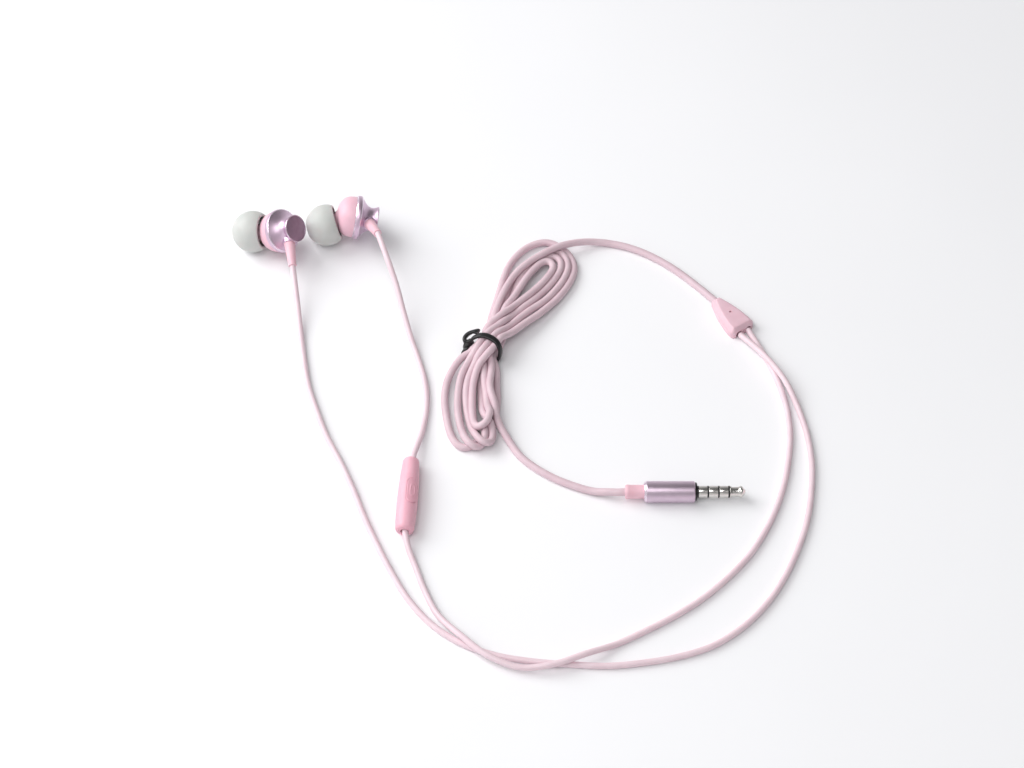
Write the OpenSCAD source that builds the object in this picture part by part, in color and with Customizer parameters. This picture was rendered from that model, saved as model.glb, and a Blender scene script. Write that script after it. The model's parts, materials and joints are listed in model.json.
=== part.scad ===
// Wired in-ear earphones with an inline remote, a Y splitter and a 3.5 mm four-contact plug.
// Millimetres, +Z up. The set lies on the plane z = 0, with the origin under the middle
// of the two earbuds, +X along the pair and the plug's pin pointing along +X.

/* [Ear tip] */
// Radius of the ear tip's round head
tip_r = 6.5; // [6:0.1:6.8]
// Wall of the silicone
tip_wall = 0.7; // [0.5:0.1:0.9]
// Radius of the sound opening at the front of the tip
tip_mouth_r = 2.2; // [1.9:0.1:2.4]

/* [Earbud] */
// Radius of the housing at its widest ring
ring_r = 6.8; // [6.6:0.05:7]
// Length of the metal rear housing
rear_l = 7.2; // [7:0.1:7.6]
// Radius of the neck behind the ring
neck_r = 3.65; // [3.5:0.05:3.8]
// Radius of the flared end that holds the cap
flare_r = 4.25; // [4.2:0.05:4.4]
// Depth of the plastic dome in front of the ring
dome_l = 5.6; // [5.2:0.1:5.8]
// Outer radius of the nozzle
nozzle_r = 2.4; // [2.3:0.05:2.45]
// Angle between the nozzle and the housing
nozzle_tilt = 26; // [22:1:28]

/* [Inline remote] */
// Length of the remote's pod
pod_l = 25.4; // [24:0.2:28]
// Largest radius of the pod
pod_r = 3.0; // [2.9:0.05:3.2]
// Travel of the button
button_travel = 0.3; // [0.1:0.05:0.3]

/* [Y splitter] */
// Length of the splitter
split_l = 14.4; // [14:0.2:16]
// Width of the splitter where the two branch cords leave it
split_w = 8.4; // [8:0.1:9]
// Height of the splitter
split_h = 3.9; // [3.8:0.1:4.2]

/* [Plug] */
// Diameter of the pin
pin_d = 3.5; // [3.5:0.1:3.5]
// Length of the pin
pin_l = 14; // [14:0.5:15]
// Radius of the metal barrel
barrel_r = 3.1; // [3.1:0.05:3.3]
// Length of the metal barrel
barrel_l = 14.6; // [14:0.1:15]

/* [Cord] */
// Diameter of the two branch cords
branch_d = 1.8; // [1.6:0.1:1.8]
// Diameter of the main cord
main_d = 2.2; // [2:0.1:2.2]

/* [Hidden] */
$fn = 64;

// Colours
silicone = "#c9cbc8";
pink = "#f0b9c8";
pink_cord = "#e3b3c0";
metal = "#b89bb5";
dark_metal = "#7d5f78";
steel = "#c8c8cc";
black = "#222222";
copper = "#b87333";
green = "#2f6b4a";
film = "#d9c9a0";

// Places of the earbuds: centre of the ring, then turn about X, Y and Z
left_at = [-8.28, 0.32, 8.5];
left_turn = [-50, 27, -94];
right_at = [14.62, 6.42, 8.35];
right_turn = [-103, -28, -85];

// Ear tip and nozzle, measured along the nozzle's axis from the ring's centre
fit_gap = 0.05;
tip_centre = 9.2;
tip_rear = tip_centre - 2.9;
nozzle_end = 12.4;
nozzle_bore_r = 1.7;
lip_r = nozzle_r + 0.3;
lip_from = 11.2;
sleeve_rear = 7.2;
sleeve_r = 3.3;
screen_r = 2.0;
screen_t = 0.3;

// Driver, measured along the housing's axis from the ring's centre
wall = 0.8;
driver_r = 5.5;
driver_front = -0.9;
coil_r = 2.6;
coil_gap = 0.15;
coil_t = 0.4;
film_from = -0.65;
yoke_r = 3.4;
yoke_rear = 2.1;
magnet_from = 0.1;
magnet_l = 1.5;

// Strain relief of an earbud, measured along its own axis
stem_from = 3.4;
stem_lean = 73;
stem_l = 12.6;
relief_r = 1.7;
relief_end_r = 1.2;
relief_groove_r = 1.4;
boss_from = 3;
boss_l = 1.7;
cap_seat = rear_l - 0.6;

// Remote: centre, heading and roll of the button towards the right
pod_at = [34.2, -96.4, 3.0];
pod_heading = 87;
button_roll = 28;
button_l = 8.6;
button_w = 3.2;
button_gap = 0.12;
dome_top = 0.1;

// Splitter: middle of its narrow end and its heading
split_at = [126.6, -22.3, 0];
split_heading = -56;
split_neck_w = 3.4;
split_bevel = 1.1;
branch_side = 1.75;
mic_at = 7.4;
mic_port_r = 0.3;

// Plug: middle of the barrel's front face
plug_at = [116.6, -95.3, 3.1];
relief_l = 5.4;
contact_gap = 0.45;

// Hank: height of the wound cord inside its tie, and the middle of the tie
hank_h = 6;
tie_at = [56.6, -42, 0];
tie_heading = 66;
tie_w = 1.5;
tie_t = 0.9;
waist_w = 7.8;
tie_inner_round = 2;

// Routes of the cords: x, y and height of the cord's middle
cord_left_route = [
    [-4, -12, 7.4], [-2, -24, 3.6], [-0.5, -34.5, 1.3], [1, -44.5, 0.9], [3, -55, 0.9],
    [6, -64.5, 0.9], [9.5, -74, 0.9], [14, -83.5, 0.9], [18, -93, 0.9], [21.5, -102.5, 0.9],
    [25.5, -112, 0.9], [30, -121.5, 0.9], [35, -130.5, 0.9], [41.5, -138.5, 0.9],
    [49.5, -144.5, 0.9], [59, -148.5, 0.9], [69, -150.5, 0.9], [79.5, -151.5, 0.9],
    [90, -152, 0.9], [100, -151, 0.9], [110, -149, 0.9], [119.5, -145.5, 0.9],
    [128, -139.5, 0.9], [135, -132, 0.9], [140.5, -123.5, 0.9], [145, -114, 0.9],
    [148.5, -104, 0.9], [150.5, -94, 0.9], [151.5, -84, 0.9], [151, -73.5, 0.9],
    [149, -63.5, 1.2], [145.5, -54, 2.8], [140, -44.5, 2.8], [133.5, -35.5, 1.4]];
cord_right_upper_route = [
    [22.5, -4.5, 12.6], [25.5, -13, 11.6], [28.5, -21, 8], [31, -29.5, 4.2], [33.5, -38, 1.8],
    [36, -46, 0.9], [38, -54.5, 0.9], [38.5, -63, 0.9], [37.5, -72, 1.2], [35.5, -81, 2.6],
    [35, -84, 3]];
cord_right_lower_route = [
    [33.5, -108.5, 3], [34.5, -113.5, 2], [36.5, -119, 0.9], [39.5, -127.5, 0.9],
    [43.5, -136, 1.4], [49.5, -143, 2.8], [57, -149.5, 2.8], [66, -153, 1.9],
    [75.5, -152.5, 2.8], [84.5, -149, 2.6], [93, -145, 1], [101.5, -140.5, 0.9],
    [110, -135.5, 0.9], [117.5, -130, 0.9], [124.5, -123.5, 0.9], [131, -116, 0.9],
    [136, -108, 0.9], [140, -99.5, 0.9], [143, -90.5, 0.9], [145, -81, 0.9],
    [146, -71.5, 0.9], [145.5, -62, 0.9], [143.5, -52.5, 0.9], [140.5, -43.5, 0.9],
    [136, -33.5, 1.4]];
cord_main_upper_route = [
    [127, -22.5, 1.4], [121, -15.5, 1.1], [113.5, -8, 1.1], [105, -2, 1.1], [95.5, 2, 1.1],
    [86, 2.5, 1.8], [81, 0.5, 3]];
cord_main_lower_route = [
    [58.5, -70.5, 1.6], [62, -75.5, 1.1], [67.5, -82.5, 1.1], [76, -89, 1.1], [86, -93.5, 1.6],
    [93, -95.2, 2.8], [97.3, -95.3, 3.1]];

// Shared shapes
function arc(r, from, to, steps, at = [0, 0]) = [
    for (i = [0:steps])
        let (a = from + (to - from) * i / steps)
            [at[0] + r * cos(a), at[1] + r * sin(a)]];

function unit(v) = v / norm(v);

function heading_at(route, i) =
    unit(route[min(i + 1, len(route) - 1)] - route[max(i - 1, 0)]);

function ring_points(route, i, r, sides) =
    let (along = heading_at(route, i))
    let (across = unit(cross([0, 0, 1], along)))
    let (up = cross(along, across))
        [for (k = [0:sides - 1])
            let (a = 360 * (k + 0.5) / sides)
                route[i] + r * (cos(a) * across + sin(a) * up)];

// A closed tube with a flat-sided section along a route
module tube(route, d, sides = 8) {
    rings = len(route);
    points = [for (i = [0:rings - 1]) each ring_points(route, i, d / 2, sides)];
    sides_faces = [
        for (i = [0:rings - 2])
            for (k = [0:sides - 1])
                let (next = (k + 1) % sides)
                    each [
                        [i * sides + k, (i + 1) * sides + k, (i + 1) * sides + next],
                        [i * sides + k, (i + 1) * sides + next, i * sides + next]]];
    start_face = [[for (k = [0:sides - 1]) k]];
    end_face = [[for (k = [0:sides - 1]) rings * sides - 1 - k]];
    polyhedron(points, concat(sides_faces, start_face, end_face), convexity = 20);
}

// A flat oval with straight sides, centred, standing up from z = 0
module oval(l, w, h) {
    translate([-(l - w) / 2, -w / 2, 0]) cube([l - w, w, h]);
    for (side = [-1, 1])
        translate([side * (l - w) / 2, 0, 0]) cylinder(d = w, h = h);
}

// Earbud: the frames that its pieces are drawn in. side is 1 for left and -1 for right.
module in_housing(side) {
    translate(side > 0 ? left_at : right_at)
        rotate(side > 0 ? left_turn : right_turn)
            children();
}

module in_nozzle(side) {
    in_housing(side) rotate([180 - side * nozzle_tilt, 0, 0]) children();
}

module along_stem() {
    translate([0, 0, stem_from]) rotate([0, stem_lean, 0]) children();
}

// Radius of the metal rear housing at height z
band_l = 1.7;
neck_z = rear_l - 1.9;
function bell(z) = neck_r + (ring_r - neck_r) * pow(max(0, 1 - (z - band_l) / (neck_z - band_l)), 2.2);
function flare(z) = (flare_r - neck_r) * pow(max(0, (z - neck_z) / (rear_l - 0.3 - neck_z)), 1.6);
function rear_r(z) = bell(z) + flare(z);

// Half of an oval dome: radius r and depth l in front of z = 0
dome_power = 2 / 2.4;
function dome(r, l, steps, from = 0) = [
    for (i = [0:steps])
        let (a = from + (90 - from) * i / steps)
            [r * pow(cos(a), dome_power), -l * pow(sin(a), dome_power)]];

module ear_tip(side) {
    rear_a = asin((tip_rear - tip_centre) / tip_r);
    inner_r = tip_r - tip_wall;
    inner_rear_a = asin((tip_rear - tip_centre) / inner_r);
    mouth_a = acos(tip_mouth_r / tip_r);
    sleeve_a = acos(sleeve_r / inner_r);
    bore = nozzle_r + fit_gap;
    groove = lip_r + fit_gap;
    color(silicone)
        in_nozzle(side)
            rotate_extrude()
                polygon(concat(
                    arc(tip_r, rear_a, mouth_a, 24, [0, tip_centre]),
                    [[tip_mouth_r, nozzle_end + fit_gap], [groove, nozzle_end + fit_gap],
                     [groove, lip_from - fit_gap], [bore, lip_from - 0.3 - fit_gap],
                     [bore, sleeve_rear], [sleeve_r, sleeve_rear]],
                    arc(inner_r, sleeve_a, inner_rear_a, 18, [0, tip_centre])));
}

module nozzle_screen(side) {
    hole_pitch = 0.62;
    color(steel)
        in_nozzle(side)
            difference() {
                translate([0, 0, nozzle_end - screen_t]) cylinder(r = screen_r, h = screen_t);
                for (ring = [0:2])
                    for (k = [0:max(0, 6 * ring - 1)])
                        rotate([0, 0, 60 * k / max(1, ring)])
                            translate([hole_pitch * ring, 0, nozzle_end - 2 * screen_t])
                                cylinder(r = 0.18, h = 3 * screen_t, $fn = 16);
            }
}

module front_housing(side) {
    inner_r = driver_r - 0.4;
    inner_l = dome_l - wall;
    spigot_r = ring_r - 0.65;
    seat_r = driver_r + fit_gap;
    ledge_a = asin(pow(-driver_front / inner_l, 1 / dome_power));
    color(pink)
        in_housing(side)
            difference() {
                union() {
                    rotate_extrude() polygon(concat([[0, 0]], dome(ring_r - 0.2, dome_l, 24)));
                    cylinder(r = spigot_r, h = 1.3);
                    rotate([180 - side * nozzle_tilt, 0, 0])
                        rotate_extrude()
                            polygon([[0, 3], [3.5, 3], [3.5, 5.1], [2.8, 5.8], [nozzle_r, 6.8],
                                     [nozzle_r, lip_from - 0.3], [lip_r, lip_from],
                                     [lip_r, nozzle_end - 0.4], [nozzle_r, nozzle_end],
                                     [0, nozzle_end]]);
                }
                translate([0, 0, driver_front]) cylinder(r = seat_r, h = 3);
                rotate_extrude()
                    polygon(concat([[0, driver_front / 2], [inner_r, driver_front / 2]],
                                   dome(inner_r, inner_l, 16, ledge_a)));
                rotate([180 - side * nozzle_tilt, 0, 0]) {
                    translate([0, 0, 2]) cylinder(r = nozzle_bore_r, h = nozzle_end);
                    translate([0, 0, nozzle_end - screen_t])
                        cylinder(r = screen_r + 0.02, h = 1);
                }
            }
}

module driver_frame(side) {
    frame_rear = 1.7;
    web_front = 1.25;
    color(steel)
        in_housing(side)
            difference() {
                rotate_extrude()
                    polygon([[5.2, driver_front], [driver_r, driver_front], [driver_r, frame_rear],
                             [yoke_r + 0.02, frame_rear], [yoke_r + 0.02, web_front], [5.2, web_front]]);
                for (k = [0:5])
                    rotate([0, 0, 60 * k]) translate([4.3, 0, 1]) cylinder(r = 0.45, h = 1);
            }
}

module diaphragm(side) {
    film_t = 0.12;
    crown = 0.5;
    roll = 0.3;
    edge_r = 4.9;
    coil_in = coil_r - coil_t / 2;
    coil_out = coil_r + coil_t / 2;
    cap = [for (i = [0:6]) [coil_in * i / 6, film_from - crown * cos(90 * i / 6)]];
    bead = [for (i = [0:8]) [coil_out + (edge_r - coil_out) * i / 8, film_from - roll * sin(180 * i / 8)]];
    line = concat(cap, bead);
    color(film)
        in_housing(side)
            rotate_extrude()
                polygon(concat(line, [for (i = [len(line) - 1:-1:0]) line[i] - [0, film_t]]));
}

module voice_coil(side) {
    color(copper)
        in_housing(side)
            translate([0, 0, film_from])
                difference() {
                    cylinder(r = coil_r + coil_t / 2, h = 1.45);
                    translate([0, 0, -1]) cylinder(r = coil_r - coil_t / 2, h = 4);
                }
}

module pole_plate(side) {
    plate_t = 0.4;
    color(steel)
        in_housing(side)
            translate([0, 0, magnet_from - plate_t])
                cylinder(r = coil_r - coil_t / 2 - coil_gap, h = plate_t);
}

module magnet(side) {
    color(dark_metal) in_housing(side) translate([0, 0, magnet_from]) cylinder(r = 2.15, h = magnet_l);
}

module yoke(side) {
    gap_r = coil_r + coil_t / 2 + coil_gap;
    floor_z = magnet_from + magnet_l;
    rim_z = -0.3;
    color(steel)
        in_housing(side)
            rotate_extrude()
                polygon([[0, floor_z], [gap_r, floor_z], [gap_r, rim_z], [yoke_r, rim_z],
                         [yoke_r, yoke_rear], [0, yoke_rear]]);
}

module driver_board(side) {
    board_t = 0.3;
    color(green)
        in_housing(side) {
            translate([0, 0, yoke_rear]) cylinder(r = 2, h = board_t);
            for (x = [-1, 1])
                translate([x, 0, yoke_rear + 1.5 * board_t]) sphere(r = 0.4, $fn = 24);
        }
}

module rear_housing(side) {
    steps = 22;
    skin = 0.75;
    front_r = ring_r - skin + 0.15;
    outer = [for (i = [0:steps])
        let (z = band_l + (rear_l - 0.3 - band_l) * i / steps) [rear_r(z), z]];
    inner = [for (i = [0:12])
        let (z = band_l + (neck_z - band_l) * i / 12) [rear_r(z) - skin, z]];
    color(metal)
        in_housing(side)
            difference() {
                union() {
                    rotate_extrude()
                        polygon(concat(
                            [[0, 0], [ring_r - 0.4, 0], [ring_r, 0.4], [ring_r, band_l - 0.15]],
                            outer, [[flare_r, rear_l - 0.1], [flare_r - 0.1, rear_l], [0, rear_l]]));
                    along_stem() translate([0, 0, boss_from]) cylinder(r = 2.05, h = boss_l);
                }
                rotate_extrude()
                    polygon(concat([[0, -1], [front_r, -1], [front_r, 1.5]], inner,
                                   [[neck_r - skin, rear_l + 1], [0, rear_l + 1]]));
                translate([0, 0, cap_seat]) cylinder(r = flare_r - 0.4, h = 1);
                along_stem() cylinder(r = relief_groove_r + fit_gap, h = 6);
            }
}

module end_cap(side) {
    color(dark_metal)
        in_housing(side)
            difference() {
                union() {
                    translate([0, 0, cap_seat]) cylinder(r = flare_r - 0.4 - fit_gap, h = 0.5);
                    translate([0, 0, cap_seat - 0.6]) cylinder(r = neck_r - 0.8, h = 0.7);
                }
                translate([0, 0, cap_seat - 0.7]) cylinder(r = neck_r - 1.5, h = 0.7);
            }
}

module strain_relief(side) {
    bore = branch_d / 2 + fit_gap;
    color(pink)
        in_housing(side)
            along_stem()
                rotate_extrude()
                    polygon([[bore, boss_from - 1], [relief_r, boss_from - 1],
                             [relief_r, boss_from - 0.55], [relief_groove_r, boss_from - 0.55],
                             [relief_groove_r, boss_from + boss_l], [relief_r, boss_from + boss_l],
                             [relief_r, boss_from + boss_l + 0.5], [relief_end_r, stem_l - 0.4],
                             [relief_end_r, stem_l], [bore, stem_l]]);
}

// Inline remote, drawn with its length along X and its button on top
module in_remote() {
    translate(pod_at) rotate([0, 0, pod_heading]) rotate([button_roll, 0, 0]) children();
}

pod_thinning = 0.16;
function pod_line(x) = pod_r * (1 - pod_thinning * pow((x + 0.1 * pod_l) / (pod_l / 2), 2));

// The pod's outline turned about X, shrunk by inset all round
module pod_form(inset = 0, end_inset = 0, round_r = 1) {
    half = pod_l / 2 - end_inset;
    low_r = pod_line(round_r - half) - inset;
    high_r = pod_line(half - round_r) - inset;
    body = [for (i = [1:17])
        let (x = (round_r - half) + 2 * (half - round_r) * i / 18) [pod_line(x) - inset, x]];
    rotate([0, 90, 0])
        rotate_extrude()
            polygon(concat([[0, -half]], arc(round_r, -90, 0, 6, [low_r - round_r, round_r - half]),
                           body, arc(round_r, 0, 90, 6, [high_r - round_r, half - round_r]),
                           [[0, half]]));
}

module pod_hollow() {
    shell_t = 0.6;
    end_t = 1.6;
    pod_form(shell_t, end_t, 0.5);
    rotate([0, 90, 0]) cylinder(r = branch_d / 2 + fit_gap, h = 2 * pod_l, center = true);
    translate([-pod_l / 2 - 1, 0, 0]) rotate([0, 90, 0]) cylinder(r = 1.5, h = 2);
}

module remote_upper_shell() {
    color(pink)
        in_remote()
            difference() {
                pod_form();
                translate([-pod_l, -pod_l, -2 * pod_l]) cube(2 * pod_l);
                pod_hollow();
                oval(button_l + 2 * button_gap, button_w + 2 * button_gap, 2 * pod_r);
            }
}

module remote_lower_shell() {
    color(pink)
        in_remote() {
            difference() {
                pod_form();
                translate([-pod_l, -pod_l, 0]) cube(2 * pod_l);
                pod_hollow();
            }
            intersection() {
                pod_form(0.5, 1.5);
                for (x = [-5, 5])
                    translate([x - 0.5, -pod_r, -pod_r]) cube([1, 2 * pod_r, pod_r - 0.9]);
            }
        }
}

module remote_button() {
    color(pink)
        in_remote() {
            intersection() {
                translate([0, 0, 1]) oval(button_l, button_w, 2 * pod_r);
                pod_form(-0.2, -1);
            }
            translate([0, 0, 0.7]) oval(button_l + 0.6, button_w + 0.5, 0.35);
            translate([0, 0, dome_top + button_travel + 0.1]) cylinder(r = 0.6, h = 0.4);
        }
}

module remote_dome_switch() {
    color(steel)
        in_remote() {
            translate([0, 0, -0.4]) cylinder(r = 1.4, h = 0.25);
            intersection() {
                translate([0, 0, dome_top - 3.3]) sphere(r = 3.3);
                translate([0, 0, -0.2]) cylinder(r = 1.1, h = 1);
            }
        }
}

module remote_board() {
    color(green) in_remote() translate([-7, -1.8, -0.9]) cube([14, 3.6, 0.5]);
}

// Y splitter, drawn from its narrow end along X
split_axis_z = 1.4;
board_top = 1.4;
module in_splitter() {
    translate(split_at) rotate([0, 0, split_heading]) children();
}

module splitter_outline(inset) {
    hull()
        for (side = [-1, 1]) {
            translate([0.9, side * (split_neck_w / 2 - 0.7)]) circle(r = max(0.1, 0.7 - inset), $fn = 20);
            translate([0.58 * split_l, side * (split_w / 2 - 1.6)]) circle(r = 1.2 - inset, $fn = 24);
            translate([split_l - 1.6, side * (split_w / 2 - 1.6)]) circle(r = 1.6 - inset, $fn = 32);
        }
}

module splitter_slab(inset, z, h) {
    translate([0, 0, z]) linear_extrude(h) splitter_outline(inset);
}

module splitter_form() {
    hull() {
        splitter_slab(0.4, 0, 0.1);
        splitter_slab(0, 0.5, 2.1);
        splitter_slab(split_bevel, split_h - 0.1, 0.1);
    }
}

module splitter_hollow() {
    translate([0, 0, 0.8])
        linear_extrude(2)
            polygon([[3.4, -1.5], [12.6, -2.7], [12.6, 2.7], [3.4, 1.5]]);
    translate([-1, 0, split_axis_z]) rotate([0, 90, 0]) cylinder(d = main_d + 2 * fit_gap, h = 5);
    for (side = [-1, 1])
        translate([12, side * branch_side, split_axis_z])
            rotate([0, 90, 0])
                cylinder(d = branch_d + 2 * fit_gap, h = 5);
}

module splitter_top_shell() {
    color(pink)
        in_splitter()
            difference() {
                splitter_form();
                translate([-1, -split_w, -split_l + split_axis_z]) cube([split_l + 2, 2 * split_w, split_l]);
                splitter_hollow();
                translate([mic_at, 0, split_axis_z]) cylinder(r = mic_port_r, h = split_h);
            }
}

module splitter_bottom_shell() {
    color(pink)
        in_splitter()
            difference() {
                splitter_form();
                translate([-1, -split_w, split_axis_z]) cube([split_l + 2, 2 * split_w, split_l]);
                splitter_hollow();
            }
}

module microphone() {
    color(steel)
        in_splitter()
            translate([mic_at, 0, board_top])
                difference() {
                    cylinder(r = 1.5, h = 1.2);
                    translate([0, 0, 0.8]) cylinder(r = mic_port_r, h = 1);
                }
}

module microphone_board() {
    color(green) in_splitter() translate([4.8, -1.6, board_top - 0.5]) cube([6.5, 3.2, 0.5]);
}

// Plug, drawn with the barrel's front face at x = 0 and the pin along +X
pin_from = 0.6;
throat_r = 1.3;
barrel_throat_r = 2.65;
barrel_bore_r = 2.55;
collar_l = 0.5;
sleeve_l = 2.5;
ring_2_l = 2.6;
ring_1_l = 2.5;
ring_2_from = pin_from + collar_l + sleeve_l + contact_gap;
ring_1_from = ring_2_from + ring_2_l + contact_gap;
point_from = ring_1_from + ring_1_l + contact_gap;
module in_plug() {
    translate(plug_at) rotate([0, 90, 0]) children();
}

// A turned piece from pairs of distance along the plug and radius
module turned(profile) {
    rotate_extrude() polygon([for (p = profile) [p[1], p[0]]]);
}

module plug_strain_relief() {
    back = -barrel_l - relief_l;
    bore = main_d / 2 + fit_gap;
    tenon_r = barrel_bore_r - fit_gap;
    tenon_l = 2;
    color(pink)
        in_plug()
            turned([[back, bore], [back, 1.95], [back + 0.3, 2.05], [-barrel_l, 2.05],
                    [-barrel_l, tenon_r], [tenon_l - barrel_l, tenon_r], [tenon_l - barrel_l, bore]]);
}

module plug_barrel() {
    edge = 0.25;
    color(metal)
        in_plug()
            turned([[-barrel_l, barrel_bore_r], [-barrel_l, barrel_r - edge], [edge - barrel_l, barrel_r],
                    [-edge, barrel_r], [0, barrel_r - edge], [0, barrel_throat_r],
                    [pin_from, barrel_throat_r],
                    [pin_from, throat_r + fit_gap], [-0.6, throat_r + fit_gap],
                    [-0.6, barrel_bore_r]]);
}

module plug_insulator() {
    rod = 0.55;
    core = 1.1;
    plug_r = barrel_bore_r - fit_gap;
    gaps = [pin_from + collar_l + sleeve_l, ring_2_from + ring_2_l, ring_1_from + ring_1_l];
    rings = [for (from = gaps)
        each [[from, core], [from, pin_d / 2], [from + contact_gap, pin_d / 2], [from + contact_gap, core]]];
    color(black)
        in_plug()
            turned(concat([[-9, rod], [-9, plug_r], [-0.65, plug_r], [-0.65, throat_r],
                           [pin_from, throat_r], [pin_from, pin_d / 2],
                           [pin_from + collar_l, pin_d / 2], [pin_from + collar_l, core]],
                          rings, [[point_from, rod]]));
}

module contact_ring(from, l) {
    color(steel)
        in_plug()
            turned([[from, 1.15], [from, pin_d / 2], [from + l, pin_d / 2], [from + l, 1.15]]);
}

module plug_sleeve_contact() {
    contact_ring(pin_from + collar_l, sleeve_l);
}

module plug_ring_contact_2() {
    contact_ring(ring_2_from, ring_2_l);
}

module plug_ring_contact_1() {
    contact_ring(ring_1_from, ring_1_l);
}

module plug_tip_contact() {
    end = pin_from + pin_l;
    color(steel)
        in_plug()
            turned([[-10, 0], [-10, 0.5], [point_from, 0.5], [point_from, pin_d / 2],
                    [point_from + 0.2, pin_d / 2], [point_from + 0.7, 1.45], [end - 2, 1.45],
                    [end - 1.4, pin_d / 2], [end - 1.1, pin_d / 2], [end - 0.25, 0.8], [end, 0.5], [end, 0]]);
}

// Twist tie round the hank, drawn with the hank along X
module in_tie() {
    translate(tie_at) rotate([0, 0, tie_heading]) children();
}

// A bar along X with round edges, standing on z = from
module round_bar(l, w, h, r, from) {
    translate([-l / 2, -w / 2 + r, from]) cube([l, w - 2 * r, h]);
    translate([-l / 2, -w / 2, from + r]) cube([l, w, h - 2 * r]);
    for (side = [-1, 1])
        for (z = [from + r, from + h - r])
            translate([-l / 2, side * (w / 2 - r), z]) rotate([0, 90, 0]) cylinder(r = r, h = l);
}

module tie_band(l) {
    difference() {
        round_bar(l, waist_w + 2 * tie_t, hank_h + 2 * tie_t, tie_inner_round + tie_t, 0);
        round_bar(2 * l, waist_w, hank_h, tie_inner_round, tie_t);
    }
}

module hank_tie() {
    knot_r = 1;
    knot = [0, waist_w / 2 + tie_t + knot_r, tie_t + hank_h / 2];
    color(black)
        in_tie() {
            tie_band(tie_w);
            translate([0, (waist_w + tie_t) / 2, knot[2]]) rotate([-90, 0, 0]) cylinder(r = knot_r, h = 1.8);
            translate(knot) rotate([0, 20, 0]) cylinder(r = 0.7, h = 1.7);
            translate(knot) rotate([0, -105, 0]) cylinder(r = 0.9, h = 4.6);
        }
}

module cord_left() {
    color(pink_cord) tube(cord_left_route, branch_d);
}

module cord_right_upper() {
    color(pink_cord) tube(cord_right_upper_route, branch_d);
}

module cord_right_lower() {
    color(pink_cord) tube(cord_right_lower_route, branch_d);
}

module cord_main_upper() {
    color(pink_cord) tube(cord_main_upper_route, main_d);
}

module cord_main_lower() {
    color(pink_cord) tube(cord_main_lower_route, main_d);
}

// The wound main cord as one closed form: an upper and a lower lobe that meet in the tie
module lobe(circles) {
    hull()
        for (c = circles)
            translate([c[0], c[1]]) circle(r = c[2], $fn = 32);
}

module cord_hank() {
    color(pink_cord)
        difference() {
            linear_extrude(tie_t + hank_h) {
                lobe([[73.5, -6.5, 10], [68, -14, 8], [76, -14, 7.5], [57.8, -37, 3.8]]);
                lobe([[50.8, -62, 7.8], [51.8, -72, 7.2], [56.5, -42.5, 3.8]]);
            }
            in_tie()
                difference() {
                    translate([-tie_w / 2 - fit_gap, -2 * waist_w, -1])
                        cube([tie_w + 2 * fit_gap, 4 * waist_w, 2 * hank_h]);
                    round_bar(2 * tie_w, waist_w - 2 * fit_gap, hank_h - 2 * fit_gap, tie_inner_round,
                              tie_t + fit_gap);
                }
        }
}

ear_tip(1);  // ear_tip_left
nozzle_screen(1);  // nozzle_screen_left
front_housing(1);  // front_housing_left
driver_frame(1);  // driver_frame_left
diaphragm(1);  // diaphragm_left
voice_coil(1);  // voice_coil_left
pole_plate(1);  // pole_plate_left
magnet(1);  // magnet_left
yoke(1);  // yoke_left
driver_board(1);  // driver_board_left
rear_housing(1);  // rear_housing_left
end_cap(1);  // end_cap_left
strain_relief(1);  // strain_relief_left
ear_tip(-1);  // ear_tip_right
nozzle_screen(-1);  // nozzle_screen_right
front_housing(-1);  // front_housing_right
driver_frame(-1);  // driver_frame_right
diaphragm(-1);  // diaphragm_right
voice_coil(-1);  // voice_coil_right
pole_plate(-1);  // pole_plate_right
magnet(-1);  // magnet_right
yoke(-1);  // yoke_right
driver_board(-1);  // driver_board_right
rear_housing(-1);  // rear_housing_right
end_cap(-1);  // end_cap_right
strain_relief(-1);  // strain_relief_right
remote_upper_shell();
remote_lower_shell();
remote_button();
remote_dome_switch();
remote_board();
splitter_top_shell();
splitter_bottom_shell();
microphone();
microphone_board();
plug_strain_relief();
plug_barrel();
plug_insulator();
plug_sleeve_contact();
plug_ring_contact_2();
plug_ring_contact_1();
plug_tip_contact();
hank_tie();
cord_left();
cord_right_upper();
cord_right_lower();
cord_main_upper();
cord_hank();
cord_main_lower();
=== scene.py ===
"""Wired in-ear earphones: cords, detailed pieces, materials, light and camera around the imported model."""

import json
import math

import bmesh
import bpy
import numpy as np
from mathutils import Matrix, Vector


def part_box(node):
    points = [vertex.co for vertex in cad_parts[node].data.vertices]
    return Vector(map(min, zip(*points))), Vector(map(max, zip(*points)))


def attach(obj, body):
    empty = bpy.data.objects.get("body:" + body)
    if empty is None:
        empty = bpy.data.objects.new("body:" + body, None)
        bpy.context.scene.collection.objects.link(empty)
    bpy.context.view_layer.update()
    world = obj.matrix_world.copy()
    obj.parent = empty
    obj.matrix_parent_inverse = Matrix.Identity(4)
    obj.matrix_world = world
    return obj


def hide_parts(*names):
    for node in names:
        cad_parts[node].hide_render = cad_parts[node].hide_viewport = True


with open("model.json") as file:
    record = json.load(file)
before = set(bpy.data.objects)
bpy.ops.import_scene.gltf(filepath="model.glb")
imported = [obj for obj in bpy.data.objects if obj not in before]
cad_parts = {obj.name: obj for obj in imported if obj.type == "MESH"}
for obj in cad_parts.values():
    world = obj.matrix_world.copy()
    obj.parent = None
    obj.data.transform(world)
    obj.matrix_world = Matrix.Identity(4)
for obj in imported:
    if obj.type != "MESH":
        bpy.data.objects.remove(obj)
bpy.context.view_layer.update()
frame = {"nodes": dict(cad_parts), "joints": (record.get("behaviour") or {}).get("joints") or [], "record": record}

MM = 0.001
JOINTS = {joint["name"]: joint for joint in frame["joints"]}
MOUNTS = {mount["name"]: mount for mount in frame["record"]["mounts"]}


# ---------------------------------------------------------------- camera

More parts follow.
